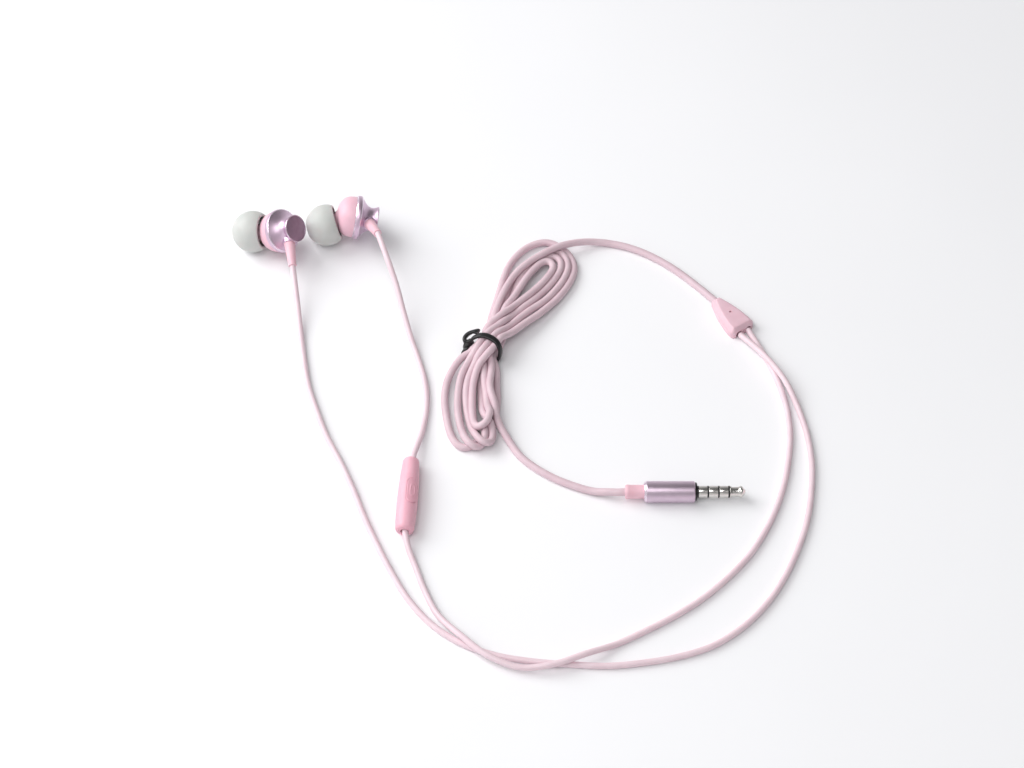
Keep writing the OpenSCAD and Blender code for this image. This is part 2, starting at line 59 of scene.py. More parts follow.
VIEW_CENTRE = Vector((0.064, -0.0535, 0))
VIEW_ELEVATION = math.radians(52)
VIEW_DISTANCE = 0.6834


def make_camera():
    data = bpy.data.cameras.new("camera")
    data.lens = 80
    data.sensor_width = 36
    data.clip_end = 20
    camera = bpy.data.objects.new("camera", data)
    back = Vector((0, -math.cos(VIEW_ELEVATION), math.sin(VIEW_ELEVATION)))
    camera.location = VIEW_CENTRE + VIEW_DISTANCE * back
    camera.rotation_euler = (-back).to_track_quat("-Z", "Y").to_euler()
    bpy.context.scene.collection.objects.link(camera)
    bpy.context.scene.camera = camera


make_camera()


# ---------------------------------------------------------------- materials

def srgb(red, green, blue):
    """A colour given as 0 to 255 display values, as linear RGBA."""
    shares = [value / 255 for value in (red, green, blue)]
    return (*[((share + 0.055) / 1.055) ** 2.4 for share in shares], 1)


def set_stops(ramp, stops):
    """Gives a colour ramp its (position, colour) stops. A new ramp has two already."""
    elements = ramp.color_ramp.elements
    for i, (position, colour) in enumerate(stops):
        element = elements[i] if i < 2 else elements.new(position)
        element.position = position
        element.color = colour


class Surface:
    """A Principled material that is built up node by node."""

    def __init__(self, name, **sockets):
        self.material = bpy.data.materials.new(name)
        self.material.use_nodes = True
        self.tree = self.material.node_tree
        self.shader = self.tree.nodes["Principled BSDF"]
        for socket, value in sockets.items():
            self.shader.inputs[socket.replace("_", " ").title().replace("Ior", "IOR")].default_value = value
        self.place = self.tree.nodes.new("ShaderNodeTexCoord").outputs["Object"]

    def link(self, output, target):
        self.tree.links.new(output, target)

    def noise(self, scale, detail, roughness=0.5):
        node = self.tree.nodes.new("ShaderNodeTexNoise")
        node.inputs["Scale"].default_value = scale
        node.inputs["Detail"].default_value = detail
        node.inputs["Roughness"].default_value = roughness
        self.link(self.place, node.inputs["Vector"])
        return node.outputs["Fac"]

    def rings(self, scale, distortion):
        """Turning marks: fine rings round the piece's own Z axis."""
        node = self.tree.nodes.new("ShaderNodeTexWave")
        node.wave_type = "RINGS"
        node.rings_direction = "Z"
        node.inputs["Scale"].default_value = scale
        node.inputs["Distortion"].default_value = distortion
        self.link(self.place, node.inputs["Vector"])
        return node.outputs["Fac"]

    def tint(self, factor, *stops):
        """Base colour from a ramp of (position, colour) stops."""
        ramp = self.tree.nodes.new("ShaderNodeValToRGB")
        set_stops(ramp, stops)
        self.link(factor, ramp.inputs["Fac"])
        self.link(ramp.outputs["Color"], self.shader.inputs["Base Color"])

    def polish(self, factor, low, high):
        """Roughness that wanders between low and high."""
        node = self.tree.nodes.new("ShaderNodeMapRange")
        node.inputs["To Min"].default_value = low
        node.inputs["To Max"].default_value = high
        self.link(factor, node.inputs["Value"])
        self.link(node.outputs["Result"], self.shader.inputs["Roughness"])

    def bumps(self, *layers):
        """Bump layers of (height, strength, depth in mm), one on the other."""
        below = None
        for height, strength, depth in layers:
            node = self.tree.nodes.new("ShaderNodeBump")
            node.inputs["Strength"].default_value = strength
            node.inputs["Distance"].default_value = depth * MM
            self.link(height, node.inputs["Height"])
            if below:
                self.link(below, node.inputs["Normal"])
            below = node.outputs["Normal"]
        self.link(below, self.shader.inputs["Normal"])


def moulded(name, colour, shade, rough, grain=0.35, coat=0.0, soft=0.0):
    """Moulded plastic or rubber: slight clouding of the colour, uneven polish and a fine skin."""
    surface = Surface(name, coat_weight=coat, coat_roughness=0.12, subsurface_weight=soft)
    surface.shader.inputs["Subsurface Radius"].default_value = (1.0, 0.5, 0.5)
    surface.shader.inputs["Subsurface Scale"].default_value = 0.6 * MM
    surface.tint(surface.noise(260, 3), (0.3, shade), (0.7, colour))
    surface.polish(surface.noise(900, 2), rough - 0.05, rough + 0.07)
    surface.bumps((surface.noise(9000, 2), grain, 0.012), (surface.noise(500, 2), 0.25, 0.03))
    return surface.material


def anodised(name, colour, shade, rough, grain_scale, grain):
    """Blasted and anodised metal: fine grain with a faint change of shade."""
    surface = Surface(name, metallic=1.0)
    surface.tint(surface.noise(420, 3), (0.3, shade), (0.7, colour))
    surface.polish(surface.noise(2600, 3), rough - 0.05, rough + 0.06)
    surface.bumps((surface.noise(grain_scale, 3, 0.7), grain, 0.02))
    return surface.material


def turned_metal(name, colour, shade, rough, scale, strength):
    """Metal faced on a lathe: fine rings round the piece's own axis."""
    surface = Surface(name, metallic=1.0)
    surface.tint(surface.noise(700, 3), (0.25, shade), (0.75, colour))
    surface.polish(surface.noise(1800, 3), rough - 0.05, rough + 0.08)
    surface.bumps((surface.rings(scale, 0.4), strength, 0.01), (surface.noise(9000, 2), 0.15, 0.01))
    return surface.material


SILICONE = moulded("silicone", srgb(203, 204, 201), srgb(196, 198, 194), 0.5, 0.25, soft=0.2)
DOME_PINK = moulded("dome_pink", srgb(240, 196, 210), srgb(236, 190, 205), 0.44, 0.1, coat=0.1, soft=0.1)
RELIEF_PINK = moulded("relief_pink", srgb(240, 196, 208), srgb(234, 187, 199), 0.42, 0.3, soft=0.1)
REMOTE_PINK = moulded("remote_pink", srgb(241, 185, 200), srgb(237, 178, 194), 0.4, 0.25, soft=0.1)
BUTTON_PINK = moulded("button_pink", srgb(237, 180, 195), srgb(232, 172, 188), 0.34, 0.2, soft=0.1)
SPLITTER_PINK = moulded("splitter_pink", srgb(231, 195, 206), srgb(226, 188, 200), 0.42, 0.3, soft=0.1)
# The two cord pinks are one jacket colour in a lighter and a darker copy: the branch cords' pink is lightened as
# painted highlight, and the main cord's is darkened as painted shade.
BRANCH_PINK_PAINTED_LIGHTER = moulded("branch_cord_pink_painted_lighter", srgb(236, 214, 221), srgb(230, 206, 214), 0.42, 0.3, soft=0.05)
MAIN_PINK_PAINTED_DARKER = moulded("main_cord_pink_painted_darker", srgb(221, 197, 205), srgb(214, 188, 197), 0.5, 0.45, soft=0.05)
BLACK_RUBBER = moulded("black_rubber", srgb(31, 30, 32), srgb(20, 19, 21), 0.3, 0.3)
BLACK_PLASTIC = moulded("black_plastic", srgb(22, 21, 22), srgb(15, 15, 16), 0.3, 0.15)
LILAC_METAL = anodised("lilac_metal", srgb(220, 196, 215), srgb(216, 190, 211), 0.4, 20000, 0.03)
BARREL_METAL = anodised("barrel_metal", srgb(216, 197, 212), srgb(209, 189, 206), 0.36, 9000, 0.25)
CUT_EDGE = turned_metal("cut_edge", srgb(240, 226, 238), srgb(232, 214, 230), 0.24, 2200, 0.05)
CAP_METAL = turned_metal("cap_metal", srgb(182, 154, 175), srgb(170, 142, 163), 0.38, 1500, 0.35)
PLATING = turned_metal("plating", srgb(226, 223, 219), srgb(214, 211, 207), 0.13, 2400, 0.1)
STEEL = turned_metal("steel", srgb(196, 196, 200), srgb(180, 180, 186), 0.3, 1200, 0.2)
MAGNET_METAL = turned_metal("magnet_metal", srgb(150, 150, 156), srgb(132, 132, 140), 0.24, 900, 0.1)
COPPER = turned_metal("copper", srgb(200, 120, 70), srgb(176, 98, 54), 0.3, 4000, 0.5)
FILM = moulded("film", srgb(226, 208, 160), srgb(214, 194, 144), 0.25, 0.15, coat=0.2)
BOARD = moulded("board", srgb(44, 112, 74), srgb(34, 94, 60), 0.35, 0.3, coat=0.3)


# ---------------------------------------------------------------- mesh helpers

def unit(vector):
    return vector / np.linalg.norm(vector)


def add_object(name, data, matrix, body, replaced=()):
    piece = bpy.data.objects.new(name, data)
    piece.matrix_world = matrix
    bpy.context.scene.collection.objects.link(piece)
    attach(piece, body)
    if replaced:
        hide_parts(*replaced)
    return piece


def make_mesh(name, points, faces, materials, indices=None, sharp=38):
    """A mesh from points in mm, smooth apart from edges sharper than the given angle."""
    mesh = bpy.data.meshes.new(name)
    mesh.from_pydata([Vector(p) * MM for p in points], [], faces)
    for material in materials:
        mesh.materials.append(material)
    if indices:
        mesh.polygons.foreach_set("material_index", indices)
    build = bmesh.new()
    build.from_mesh(mesh)
    bmesh.ops.recalc_face_normals(build, faces=build.faces)
    build.to_mesh(mesh)
    build.free()
    mesh.shade_smooth()
    mesh.set_sharp_from_angle(angle=math.radians(sharp))
    return mesh


def tube_faces(rings, count):
    """Faces of a tube whose points come as rings of count points: the sides, then a cap on each end."""
    faces = []
    for low in range(0, (rings - 1) * count, count):
        for k in range(count):
            after = (k + 1) % count
            faces.append((low + k, low + after, low + count + after, low + count + k))
    return faces + [tuple(range(count)), tuple(range((rings - 1) * count, rings * count))]


def arc(centre, radius, start, end, steps):
    """Points (distance from the axis, height) on a circle whose centre is (out, up), angles in degrees."""
    turn = [math.radians(start + (end - start) * i / steps) for i in range(steps + 1)]
    return [(centre[0] + radius * math.cos(a), centre[1] + radius * math.sin(a)) for a in turn]


def eased(profile, radius, steps=4):
    """Rounds the corners of a closed profile. Corners on the axis stay as they are."""
    out = []
    for i, corner in enumerate(profile):
        before = np.array(profile[i - 1], float)
        here = np.array(corner, float)
        after = np.array(profile[(i + 1) % len(profile)], float)
        back = before - here
        ahead = after - here
        if here[0] < 1e-6 or np.dot(unit(back), unit(ahead)) < -0.93:
            out.append(tuple(here))
            continue
        start = here + unit(back) * min(radius, 0.45 * np.linalg.norm(back))
        end = here + unit(ahead) * min(radius, 0.45 * np.linalg.norm(ahead))
        for k in range(steps + 1):
            t = k / steps
            out.append(tuple((1 - t) ** 2 * start + 2 * t * (1 - t) * here + t * t * end))
    return out


def turned(name, profile, materials, paint=None, sides=96):
    """A closed profile of (radius, height) in mm, turned round Z. paint gives a segment's material index
    by the radius and height of its middle."""
    points = []
    rings = []
    for radius, height in profile:
        if radius < 1e-6:
            rings.append([len(points)] * sides)
            points.append((0, 0, height))
            continue
        rings.append(list(range(len(points), len(points) + sides)))
        for k in range(sides):
            turn = 2 * math.pi * k / sides
            points.append((radius * math.cos(turn), radius * math.sin(turn), height))
    faces = []
    indices = []
    for i, low in enumerate(rings):
        high = rings[(i + 1) % len(rings)]
        after = profile[(i + 1) % len(rings)]
        middle = ((profile[i][0] + after[0]) / 2, (profile[i][1] + after[1]) / 2)
        if profile[i][0] < 1e-6 and after[0] < 1e-6:
            continue
        for k in range(sides):
            corners = (low[k], low[(k + 1) % sides], high[(k + 1) % sides], high[k])
            faces.append(tuple(dict.fromkeys(corners)))
            indices.append(paint(*middle) if paint else 0)
    return make_mesh(name, points, faces, materials, indices)


def axes(x, y, z, origin):
    """The frame with these axes and this origin, in metres."""
    matrix = Matrix.Identity(4)
    for column, axis in enumerate((x, y, z)):
        for row in range(3):
            matrix[row][column] = float(axis[row])
    matrix.translation = Vector([float(v) for v in origin])
    return matrix


def turn_about(axis, degrees):
    return Matrix.Rotation(math.radians(degrees), 4, axis)


def smooth_line(points, spacing):
    """A curve through the points, as a line with a point at every spacing."""
    knots = np.array(points, float)
    before = np.vstack([2 * knots[0] - knots[1], knots[:-1]])
    after = np.vstack([knots[1:], 2 * knots[-1] - knots[-2]])
    slopes = (after - before) / 2
    fine = []
    for i in range(len(knots) - 1):
        for t in np.linspace(0, 1, 24, endpoint=False):
            fine.append((2 * t ** 3 - 3 * t ** 2 + 1) * knots[i] + (t ** 3 - 2 * t ** 2 + t) * slopes[i]
                        + (3 * t ** 2 - 2 * t ** 3) * knots[i + 1] + (t ** 3 - t ** 2) * slopes[i + 1])
    return spaced(np.array(fine + [knots[-1]]), spacing)


def spaced(line, spacing):
    run = np.r_[0, np.cumsum(np.linalg.norm(np.diff(line, axis=0), axis=1))]
    count = max(3, int(round(run[-1] / spacing)) + 1)
    stops = np.linspace(0, run[-1], count)
    return np.column_stack([np.interp(stops, run, line[:, k]) for k in range(3)])


# ---------------------------------------------------------------- earbud frames

TIP_R, TIP_CENTRE, TIP_REAR, TIP_WALL, MOUTH_R = 6.5, 9.2, 5.7, 0.7, 2.2
NOZZLE_R, NOZZLE_END, LIP_FROM = 2.4, 12.4, 11.2
RING_R, BAND_L, NECK_R, FLARE_R, REAR_L, DOME_L = 6.8, 1.7, 3.65, 4.25, 7.2, 5.6
NECK_Z = REAR_L - 1.9
STEM_FROM, STEM_LEAN, STEM_L = 3.4, 73, 12.6


def bud_frames(side_name, side):
    """The housing's and the nozzle's frames, from the joints of the driver's cone and the ear tip."""
    tip_joint = JOINTS[f"ear_tip_{side_name}_turn"]
    nozzle = unit(np.array(tip_joint["axis"]))
    housing = unit(np.array(JOINTS[f"voice_coil_{side_name}_stroke"]["axis"]))
    centre = np.array(tip_joint["pos_m"]) - TIP_CENTRE * MM * nozzle
    lean = -nozzle @ housing
    y = unit(-side * (nozzle + lean * housing))
    x = np.cross(y, housing)
    tilt = math.degrees(math.acos(lean))
    in_housing = axes(x, y, housing, centre)
    return in_housing, in_housing @ turn_about("X", 180 - side * tilt)


def stem_frame(housing):
    """The strain relief's frame: its axis leaves the side of the metal housing."""
    return housing @ Matrix.Translation((0, 0, STEM_FROM * MM)) @ turn_about("Y", STEM_LEAN)


def from_stem(side_name, side):
    """The cord's first points, in mm: inside the strain relief and at its end."""
    stem = stem_frame(bud_frames(side_name, side)[0])
    return [tuple(stem @ Vector((0, 0, z * MM)) / MM) for z in (5, 9, STEM_L)]


# ---------------------------------------------------------------- cords

BRANCH_D = 1.8
MAIN_D = 2.2
BRANCH_SPACING = 2.5
HANK_SPACING = 1.2
FLOOR_GAP = 0.02

# How the wound cord settles: the share of its height that it keeps, how far it sags in a round in mm, and the
# share of each fault that a round mends. A stiffness share near 0.5 makes the line zigzag
SETTLE_ROUNDS, PAIRS_EVERY, HELD_ENDS = 160, 6, 6
SAG_TO, SAG_STEP = 0.6, 0.05
STIFF_SHARE, BEND_SHARE, HOME_SHARE, SPACING_SHARE, PUSH_SHARE = 0.25, 0.03, 0.03, 0.25, 1.2

# Routes of the cords' middle lines in mm. The first point of a route from a bud is where its CAD tube begins;
# the curve begins inside the strain relief instead
LEFT_ROUTE = [
    (-4, -12, 7.4), (-2, -24, 3.6), (-0.5, -34.5, 1.3), (1, -44.5, 0.9), (3, -55, 0.9),
    (6, -64.5, 0.9), (9.5, -74, 0.9), (14, -83.5, 0.9), (18, -93, 0.9), (21.5, -102.5, 0.9),
    (25.5, -112, 0.9), (30, -121.5, 0.9), (35, -130.5, 0.9), (41.5, -138.5, 0.9),
    (49.5, -144.5, 0.9), (59, -148.5, 0.9), (69, -150.5, 0.9), (79.5, -151.5, 0.9),
    (90, -152, 0.9), (100, -151, 0.9), (110, -149, 0.9), (119.5, -145.5, 0.9),
    (128, -139.5, 0.9), (135, -132, 0.9), (140.5, -123.5, 0.9), (145, -114, 0.9),
    (148.5, -104, 0.9), (150.5, -94, 0.9), (151.5, -84, 0.9), (151, -73.5, 0.9),
    (149, -63.5, 1.2), (145.5, -54, 2.8), (140, -44.5, 2.8), (133.5, -35.5, 1.4)]
RIGHT_UPPER_ROUTE = [
    (22.5, -4.5, 12.6), (25.5, -13, 11.6), (28.5, -21, 8), (31, -29.5, 4.2), (33.5, -38, 1.8),
    (36, -46, 0.9), (38, -54.5, 0.9), (38.5, -63, 0.9), (37.5, -72, 1.2), (35.5, -81, 2.6),
    (35, -84, 3)]
RIGHT_LOWER_ROUTE = [
    (33.5, -108.5, 3), (34.5, -113.5, 2), (36.5, -119, 0.9), (39.5, -127.5, 0.9),
    (43.5, -136, 1.4), (49.5, -143, 2.8), (57, -149.5, 2.8), (66, -153, 1.9),
    (75.5, -152.5, 2.8), (84.5, -149, 2.6), (93, -145, 1), (101.5, -140.5, 0.9),
    (110, -135.5, 0.9), (117.5, -130, 0.9), (124.5, -123.5, 0.9), (131, -116, 0.9),
    (136, -108, 0.9), (140, -99.5, 0.9), (143, -90.5, 0.9), (145, -81, 0.9),
    (146, -71.5, 0.9), (145.5, -62, 0.9), (143.5, -52.5, 0.9), (140.5, -43.5, 0.9),
    (136, -33.5, 1.4)]
MAIN_UPPER_ROUTE = [
    (127, -22.5, 1.4), (121, -15.5, 1.1), (113.5, -8, 1.1), (105, -2, 1.1), (96.5, 1.4, 1.1),
    (89.5, 1.8, 2.4), (84, 0.4, 4.4)]
MAIN_LOWER_ROUTE = [
    (60.4, -71, 3.8), (63.4, -76.4, 1.8), (67.5, -82.5, 1.1), (76, -89, 1.1), (86, -93.5, 1.6),
    (93, -95.2, 2.8), (97.3, -95.3, 3.1)]

# The hank: the tie's middle and heading, then each pass as (right of the middle, height). Each turn goes down
# through the tie, up through it again, and over the other passes just beyond it
TIE_AT = np.array([57.2, -40.6, 0])
TIE_HEADING = math.radians(66)
ALONG = np.array([math.cos(TIE_HEADING), math.sin(TIE_HEADING), 0])
ACROSS = np.array([math.sin(TIE_HEADING), -math.cos(TIE_HEADING), 0])
UP_SLOTS = [(2.75, 5.8), (0.55, 5.8), (-1.65, 5.8), (-2.75, 3.9)]
OVER_SLOTS = [(4.7, 6.2), (2.4, 6.2), (0, 6.2), (-1.9, 6.2)]
TIE_ENTRY, TIE_EXIT, OVER_AT = -3.4, 2, 6.5
DOWN_SLOTS = [(-0.55, 3.9), (-1.65, 2.0), (0.55, 2.0), (2.75, 2.0), (1.65, 3.9)]

# Each turn's loops as (x, y): clockwise below the tie, then anticlockwise above it
LOWER_LOOPS = [
    [(55.4, -49.4), (56.2, -56), (57, -63), (57.2, -68), (56.8, -71.4), (55, -73.2), (53, -71.8), (52.2, -67),
     (52, -60), (52.6, -53.5), (54.4, -48)],
    [(55, -49), (54.8, -55), (55, -61), (56, -67), (57.6, -72), (58.2, -75.6), (57, -78), (54.8, -77.6),
     (53, -73.4), (51.4, -68.5), (50.6, -63), (50.5, -58), (51.2, -53), (53.2, -48.4)],
    [(57.2, -50), (57.2, -56), (57.4, -62), (57.2, -68), (56.4, -73.5), (55, -77.6), (52.8, -79), (50.6, -76.5),
     (49, -71.5), (48.1, -67), (47.8, -61), (48.2, -55.5), (49.3, -50.7), (51.8, -46.2)],
    [(59.4, -49), (59.2, -55), (59.2, -61), (58.4, -67), (56.8, -71.8), (54.2, -75.6), (51.6, -78), (49.2, -78),
     (47.2, -76), (45.5, -72), (44.5, -66.5), (43.9, -61), (44.3, -55), (46, -50), (49, -44.8)]]
UPPER_LOOPS = [
    [(68.8, -31.8), (73, -27.5), (77, -22.5), (80.5, -17.5), (82.5, -13), (83.2, -9), (82.4, -5), (80.2, -1.2),
     (77.5, 1), (74.5, 2), (70, 0.5), (66, -3), (63, -8), (61.4, -13), (60.4, -17.5), (59.2, -22.5),
     (58, -27.8)],
    [(65.4, -31.5), (70, -26.5), (74.5, -22.5), (78, -17.5), (80.6, -12.5), (81.6, -8), (80.4, -3.8),
     (77.2, -2), (72.8, -3.8), (68.8, -8), (65.4, -13), (63, -18), (61.4, -23), (59.9, -28.7)],
    [(63, -30.7), (67, -26), (71.4, -21), (75.4, -16.4), (78.2, -12), (79.4, -8.2), (78, -5.2), (75, -4.6),
     (71.2, -7.2), (67.6, -11.8), (65.4, -16.5), (63.8, -22), (61.9, -29.5)],
    [(60.8, -30.3), (64.2, -26.2), (68, -22.8), (71.4, -19.2), (74, -15.6), (76.2, -12), (76.8, -9),
     (75.2, -7.2), (72.6, -8.2), (69.6, -11.6), (67.2, -15.4), (65.4, -19.6), (63.6, -24), (61, -29.2)]]


def in_tie(out, up, along=0.0):
    """A point in the tie: distance to the right of its middle, height, and distance up the hank."""
    return tuple(TIE_AT + out * ACROSS + along * ALONG + np.array([0, 0, up]))


def raised(outline, start_z, end_z, crest):
    """Heights for a loop: near those in the tie at both ends, level at crest between."""
    last = len(outline) - 1
    out = []
    for i, (x, y) in enumerate(outline):
        near_start = max(0.0, 1 - i / 3) ** 1.5
        near_end = max(0.0, 1 - (last - i) / 3) ** 1.5
        from_start = (start_z - crest) * near_start * 0.75
        from_end = (end_z - crest) * near_end * 0.75
        out.append((x, y, crest + from_start + from_end))
    return out


def hank_route():
    """The main cord's whole route: to the hank, down the tie and round each turn, then to the plug."""
    route = list(MAIN_UPPER_ROUTE)
    route += [(79, -1.8, 5.8), (74.5, -4.6, 6.2), (70, -8, 6), (66, -12, 5.6), (62.8, -17, 5),
              (60.6, -22.5, 4.4), (59, -28.3, 3.9)]
    for turn, (down, up) in enumerate(zip(DOWN_SLOTS, UP_SLOTS)):
        route += [in_tie(*down, along=TIE_EXIT), in_tie(*down, along=TIE_ENTRY)]
        route += raised(LOWER_LOOPS[turn], down[1], up[1], 4.4 - turn)
        route += [in_tie(up[0] - 0.5, up[1], along=TIE_ENTRY), in_tie(up[0] + 0.3, up[1], along=TIE_EXIT)]
        route.append(in_tie(*OVER_SLOTS[turn], along=OVER_AT))
        route += raised(UPPER_LOOPS[turn], 5.8, DOWN_SLOTS[turn + 1][1], 1.7 + 0.9 * turn)
    route += [in_tie(*DOWN_SLOTS[-1], along=TIE_EXIT), in_tie(*DOWN_SLOTS[-1], along=TIE_ENTRY)]
    route += [(58.2, -47.6, 4.2), (57, -52, 4.6), (56.8, -57, 5), (57.4, -62, 5), (58.6, -66.5, 4.8)]
    return route + MAIN_LOWER_ROUTE


def near_pairs(line, reach, apart):
    """Pairs of points of a line that are within reach of each other and not neighbours along it."""
    gap = line[:, None, :] - line[None, :, :]
    close = (gap ** 2).sum(2) < reach ** 2
    first, second = np.nonzero(np.triu(close, apart))
    return first, second


def even_out(line, spacing):
    """Moves neighbouring points towards their spacing, first the even pairs and then the odd ones."""
    for start in (0, 1):
        a = line[start:-1:2]
        b = line[start + 1::2]
        a = a[:len(b)]
        along = b - a
        long = np.linalg.norm(along, axis=1)[:, None]
        fix = SPACING_SHARE * (long - spacing) * along / long
        line[start:start + 2 * len(b):2] += fix
        line[start + 1::2] -= fix


def shift_apart(line, first, second, diameter):
    """How each point moves so that no pair of strands lies closer than the diameter."""
    between = line[first] - line[second]
    far = np.linalg.norm(between, axis=1)
    hit = far < diameter
    push = (0.5 * (diameter - far[hit]) / np.maximum(far[hit], 1e-6))[:, None] * between[hit]
    total = np.zeros_like(line)
    count = np.zeros(len(line))
    np.add.at(total, first[hit], push)
    np.add.at(total, second[hit], -push)
    np.add.at(count, first[hit], 1)
    np.add.at(count, second[hit], 1)
    return PUSH_SHARE * total / np.maximum(count, 1)[:, None]


def held_points(home):
    """The points that stay put: those in the tie, and both ends."""
    along_tie = (home - TIE_AT) @ ALONG
    across_tie = (home - TIE_AT) @ ACROSS
    held = (along_tie > TIE_ENTRY - 0.3) & (along_tie < TIE_EXIT + 0.3) & (np.abs(across_tie) < 5)
    held[:HELD_ENDS] = True
    held[-HELD_ENDS:] = True
    return held


def settle(line, diameter, rounds):
    """Lets a wound cord sag and evens it out, at its own length and clear of itself."""
    spacing = np.linalg.norm(np.diff(line, axis=0), axis=1).mean()
    apart = int(math.ceil(1.7 * diameter / spacing))
    home = line.copy()
    line = line.copy()
    rest = diameter / 2 + SAG_TO * np.maximum(0, home[:, 2] - diameter / 2)
    held = held_points(home)
    for step in range(rounds):
        if step % PAIRS_EVERY == 0:
            first, second = near_pairs(line, 1.5 * diameter, apart)
        ease = 1 - step / rounds
        line[:, 2] -= SAG_STEP * ease * (line[:, 2] > rest)
        bend = np.zeros_like(line)
        bend[1:-1] = (line[:-2] + line[2:]) / 2 - line[1:-1]
        stiff = bend.copy()
        stiff[1:-1] -= (bend[:-2] + bend[2:]) / 2
        line += STIFF_SHARE * stiff + BEND_SHARE * bend
        line[:, :2] += HOME_SHARE * (home[:, :2] - line[:, :2])
        even_out(line, spacing)
        for _ in range(2):
            line += shift_apart(line, first, second, diameter)
            line[held] = home[held]
        line[:, 2] = np.maximum(line[:, 2], diameter / 2)
    return line


def cord_curve(name, line, diameter, material, replaced):
    """A round cord along a line in mm, as one open curve that stays just clear of the floor."""
    line[:, 2] = np.maximum(line[:, 2], diameter / 2 + FLOOR_GAP)
    data = bpy.data.curves.new(name, "CURVE")
    data.dimensions = "3D"
    data.bevel_depth = diameter / 2 * MM
    data.bevel_resolution = 7
    data.resolution_u = 4
    data.use_fill_caps = True
    data.materials.append(material)
    spline = data.splines.new("BEZIER")
    spline.bezier_points.add(len(line) - 1)
    for point, at in zip(spline.bezier_points, line):
        point.co = Vector(at) * MM
        point.handle_left_type = "AUTO"
        point.handle_right_type = "AUTO"
    return add_object(name, data, Matrix.Identity(4), "root", replaced)


left_line = smooth_line(from_stem("left", 1) + LEFT_ROUTE[1:], BRANCH_SPACING)
right_upper_line = smooth_line(from_stem("right", -1) + RIGHT_UPPER_ROUTE[1:], BRANCH_SPACING)
right_lower_line = smooth_line(RIGHT_LOWER_ROUTE, BRANCH_SPACING)
main_line = settle(smooth_line(hank_route(), HANK_SPACING), MAIN_D, SETTLE_ROUNDS)

left_cord = cord_curve("left_branch_cord", left_line, BRANCH_D, BRANCH_PINK_PAINTED_LIGHTER, ["cord_left"])
right_upper_cord = cord_curve("right_upper_cord", right_upper_line, BRANCH_D, BRANCH_PINK_PAINTED_LIGHTER,
                              ["cord_right_upper"])
right_lower_cord = cord_curve("right_lower_cord", right_lower_line, BRANCH_D, BRANCH_PINK_PAINTED_LIGHTER,
                              ["cord_right_lower"])
main_cord = cord_curve("main_cord", main_line, MAIN_D, MAIN_PINK_PAINTED_DARKER,
                       ["cord_main_upper", "cord_hank", "cord_main_lower"])


# ---------------------------------------------------------------- earbuds

def ear_tip_profile():
    rear_a = math.degrees(math.asin((TIP_REAR - TIP_CENTRE) / TIP_R))
    inner_r = TIP_R - TIP_WALL
    inner_rear_a = math.degrees(math.asin((TIP_REAR - TIP_CENTRE) / inner_r))
    mouth_a = math.degrees(math.acos(MOUTH_R / TIP_R))
    sleeve_a = math.degrees(math.acos(3.3 / inner_r))
    outer = arc((0, TIP_CENTRE), TIP_R, rear_a, mouth_a, 40)
    seam = [(r * (1 - 0.006 * math.exp(-((z - TIP_CENTRE + 0.9) / 0.07) ** 2)), z) for r, z in outer]
    mouth = [(MOUTH_R, NOZZLE_END + 0.1), (2.75, NOZZLE_END + 0.1), (2.75, LIP_FROM), (2.45, LIP_FROM - 0.3),
             (2.45, 7.2), (3.3, 7.2)]
    return eased(seam + mouth + arc((0, TIP_CENTRE), inner_r, sleeve_a, inner_rear_a, 26), 0.3)


def dome_profile():
    power = 2 / 2.7
    quarter = [math.radians(90 * i / 32) for i in range(33)]
    outer = [((RING_R - 0.42) * math.cos(a) ** power, -DOME_L * math.sin(a) ** power) for a in quarter]
    outer[-1] = (0, -DOME_L)
    return [(0, 1.2), (RING_R - 0.7, 1.2), (RING_R - 0.7, 0.05), (RING_R - 0.44, 0.05)] + outer


def nozzle_profile():
    return eased([(1.7, 3), (3.6, 3), (3.5, 4.9), (2.85, 5.7), (NOZZLE_R, 6.8), (NOZZLE_R, LIP_FROM - 0.3),
                  (NOZZLE_R + 0.28, LIP_FROM), (NOZZLE_R + 0.28, NOZZLE_END - 0.35),
                  (NOZZLE_R - 0.1, NOZZLE_END), (1.7, NOZZLE_END)], 0.35)


def bell_r(z):
    bell = NECK_R + (RING_R - 0.2 - NECK_R) * max(0, 1 - (z - BAND_L) / (NECK_Z - BAND_L)) ** 2.1
    return bell + (FLARE_R - NECK_R) * max(0, (z - NECK_Z) / (REAR_L - 0.3 - NECK_Z)) ** 1.6


def rear_profile():
    outer = [(bell_r(z), z) for z in np.linspace(BAND_L + 0.12, REAR_L - 0.28, 40)]
    front = [(RING_R - 0.62, 0.1), (RING_R - 0.6, -0.08), (RING_R - 0.46, -0.1), (RING_R - 0.06, 0.34),
             (RING_R, 0.46), (RING_R, BAND_L - 0.3), (RING_R - 0.03, BAND_L - 0.2), (RING_R - 0.17, BAND_L)]
    rim = [(FLARE_R + 0.02, REAR_L - 0.12), (FLARE_R - 0.03, REAR_L - 0.02), (FLARE_R - 0.12, REAR_L),
           (FLARE_R - 0.3, REAR_L - 0.05), (FLARE_R - 0.38, REAR_L - 0.25), (FLARE_R - 0.4, REAR_L - 0.7)]
    inner = [(bell_r(z) - 0.6, z) for z in np.linspace(NECK_Z, BAND_L + 0.12, 14)]
    return front + outer + rim + inner


def rear_paint(radius, height):
    """Cut bevels in front of and behind the band and round the rim are bright, the rest is anodised."""
    front_edge = height < 0.4 and radius > RING_R - 0.55
    band_edge = BAND_L - 0.25 < height < BAND_L + 0.1 and radius > RING_R - 0.3
    rim = height > REAR_L - 0.2 and radius > FLARE_R - 0.35
    return 1 if front_edge or band_edge or rim else 0


